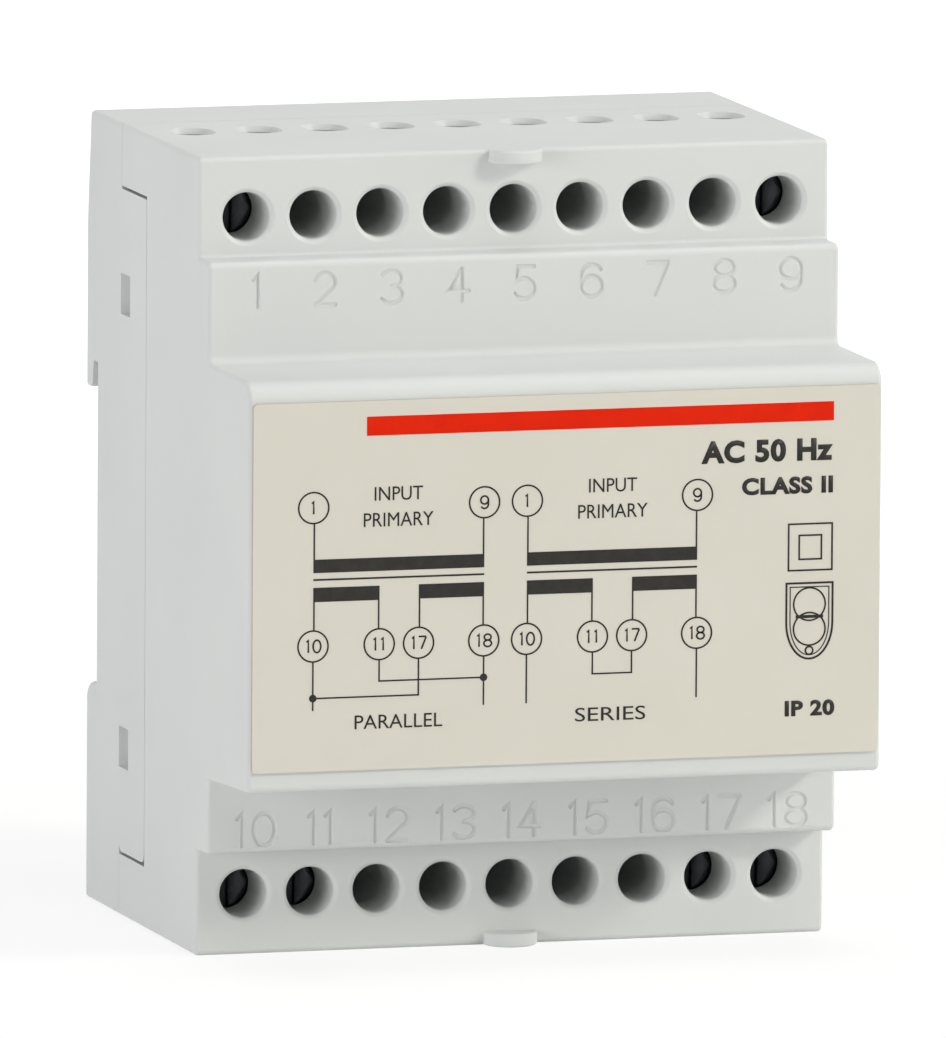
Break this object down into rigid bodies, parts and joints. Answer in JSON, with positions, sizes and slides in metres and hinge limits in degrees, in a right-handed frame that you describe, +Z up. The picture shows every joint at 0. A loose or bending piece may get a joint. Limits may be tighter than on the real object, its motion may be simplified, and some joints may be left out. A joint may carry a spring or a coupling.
{
  "type": "safety transformer",
  "caption": "Rail-mounted safety isolating transformer in a stepped moulded housing, with screw terminals, front label, sprung rail foot, core and coil.",
  "frame": {"origin": "middle of the lower end, on the surface that the part stands on", "axes": "+Z up along the rows' side of the housing, -Y to the front label, +X to the right seen from the front"},
  "size_m": [0.071, 0.065, 0.087],
  "materials": {
    "cover_plastic": "fine moulded texture",
    "base_plastic": "fine moulded texture",
    "label_sheet": "satin printed sheet",
    "latch_plastic": "moulded",
    "spring_steel": "rolled strip",
    "carrier_plastic": "moulded",
    "core_steel": "stacked sheets",
    "former_plastic": "moulded",
    "copper_wire": "enamelled wire",
    "coil_tape": "wound film",
    "cutout_case": "moulded",
    "plated_screw": "dark zinc plated",
    "plated_cage": "zinc plated",
    "tinned_bar": "tinned",
    "primary_lead": "sleeved",
    "secondary_lead": "sleeved"
  },
  "bodies": {
    "housing": {"front_cover": "cover_plastic", "rear_base": "base_plastic", "front_label": "label_sheet", "latch_spring": "spring_steel", "upper_terminal_carrier": "carrier_plastic", "lower_terminal_carrier": "carrier_plastic", "core_e_stack": "core_steel", "core_i_stack": "core_steel", "coil_former": "former_plastic", "primary_winding": "copper_wire", "secondary_winding_a": "copper_wire", "secondary_winding_b": "copper_wire", "primary_tape": "coil_tape", "secondary_tape": "coil_tape", "interlayer_tape": "coil_tape", "thermal_cutout": "cutout_case", "contact_bar_1": "tinned_bar", "lead_1": "primary_lead", "contact_bar_9": "tinned_bar", "lead_9": "primary_lead", "contact_bar_10": "tinned_bar", "lead_10": "secondary_lead", "contact_bar_11": "tinned_bar", "lead_11": "secondary_lead", "contact_bar_17": "tinned_bar", "lead_17": "secondary_lead", "contact_bar_18": "tinned_bar", "lead_18": "secondary_lead"},
    "rail_latch": {"rail_latch": "latch_plastic"},
    "screw_1": {"terminal_screw_1": "plated_screw"},
    "cage_1": {"clamp_cage_1": "plated_cage"},
    "screw_9": {"terminal_screw_9": "plated_screw"},
    "cage_9": {"clamp_cage_9": "plated_cage"},
    "screw_10": {"terminal_screw_10": "plated_screw"},
    "cage_10": {"clamp_cage_10": "plated_cage"},
    "screw_11": {"terminal_screw_11": "plated_screw"},
    "cage_11": {"clamp_cage_11": "plated_cage"},
    "screw_17": {"terminal_screw_17": "plated_screw"},
    "cage_17": {"clamp_cage_17": "plated_cage"},
    "screw_18": {"terminal_screw_18": "plated_screw"},
    "cage_18": {"clamp_cage_18": "plated_cage"}
  },
  "joints": [
    {"name": "rail_latch_slide", "type": "slide", "parent": "housing", "child": "rail_latch", "axis": [0, 0, -1], "range_m": [0, 0.003], "stiffness_N_per_m": 2000, "springref_m": -0.002, "deforming": ["latch_spring"]},
    {"name": "screw_turn_1", "type": "hinge", "parent": "housing", "child": "screw_1", "pos_m": [-0.03, 0, 0.0804], "axis": [0, 1, 0], "range_deg": [0, 2160]},
    {"name": "cage_rise_1", "type": "slide", "parent": "housing", "child": "cage_1", "axis": [0, -1, 0], "range_m": [0, 0.0042]},
    {"name": "screw_turn_9", "type": "hinge", "parent": "housing", "child": "screw_9", "pos_m": [0.03, 0, 0.0804], "axis": [0, 1, 0], "range_deg": [0, 2160]},
    {"name": "cage_rise_9", "type": "slide", "parent": "housing", "child": "cage_9", "axis": [0, -1, 0], "range_m": [0, 0.0042]},
    {"name": "screw_turn_10", "type": "hinge", "parent": "housing", "child": "screw_10", "pos_m": [-0.03, 0, 0.0066], "axis": [0, 1, 0], "range_deg": [0, 2160]},
    {"name": "cage_rise_10", "type": "slide", "parent": "housing", "child": "cage_10", "axis": [0, -1, 0], "range_m": [0, 0.0042]},
    {"name": "screw_turn_11", "type": "hinge", "parent": "housing", "child": "screw_11", "pos_m": [-0.0225, 0, 0.0066], "axis": [0, 1, 0], "range_deg": [0, 2160]},
    {"name": "cage_rise_11", "type": "slide", "parent": "housing", "child": "cage_11", "axis": [0, -1, 0], "range_m": [0, 0.0042]},
    {"name": "screw_turn_17", "type": "hinge", "parent": "housing", "child": "screw_17", "pos_m": [0.0225, 0, 0.0066], "axis": [0, 1, 0], "range_deg": [0, 2160]},
    {"name": "cage_rise_17", "type": "slide", "parent": "housing", "child": "cage_17", "axis": [0, -1, 0], "range_m": [0, 0.0042]},
    {"name": "screw_turn_18", "type": "hinge", "parent": "housing", "child": "screw_18", "pos_m": [0.03, 0, 0.0066], "axis": [0, 1, 0], "range_deg": [0, 2160]},
    {"name": "cage_rise_18", "type": "slide", "parent": "housing", "child": "cage_18", "axis": [0, -1, 0], "range_m": [0, 0.0042]}
  ],
  "couplings": [
    {"joint": "screw_turn_1", "follows": "cage_rise_1", "rad_per_m": 8976},
    {"joint": "screw_turn_9", "follows": "cage_rise_9", "rad_per_m": 8976},
    {"joint": "screw_turn_10", "follows": "cage_rise_10", "rad_per_m": 8976},
    {"joint": "screw_turn_11", "follows": "cage_rise_11", "rad_per_m": 8976},
    {"joint": "screw_turn_17", "follows": "cage_rise_17", "rad_per_m": 8976},
    {"joint": "screw_turn_18", "follows": "cage_rise_18", "rad_per_m": 8976}
  ]
}
